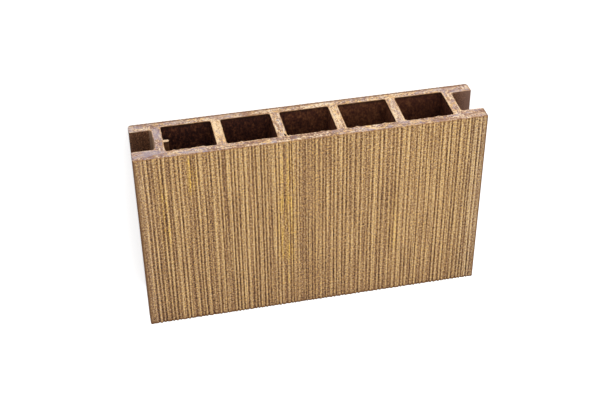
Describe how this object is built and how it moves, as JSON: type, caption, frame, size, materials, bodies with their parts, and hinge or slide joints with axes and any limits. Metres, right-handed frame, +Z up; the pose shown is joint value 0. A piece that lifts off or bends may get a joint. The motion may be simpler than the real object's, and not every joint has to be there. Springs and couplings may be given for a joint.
{
  "type": "hollow composite deck board sample",
  "caption": "Short sawn length of hollow wood-plastic composite deck board with a brushed walking face, square chambers and a clip groove along each side.",
  "frame": {"origin": "on the underside, below the middle of the board", "axes": "+X across the board's width, +Y along its extruded length, +Z up out of the brushed walking face; the pictured cut end faces -Y"},
  "size_m": [0.14, 0.083, 0.025],
  "materials": {
    "composite": "matte"
  },
  "bodies": {
    "root": {"deck_board": "composite"}
  },
  "joints": []
}
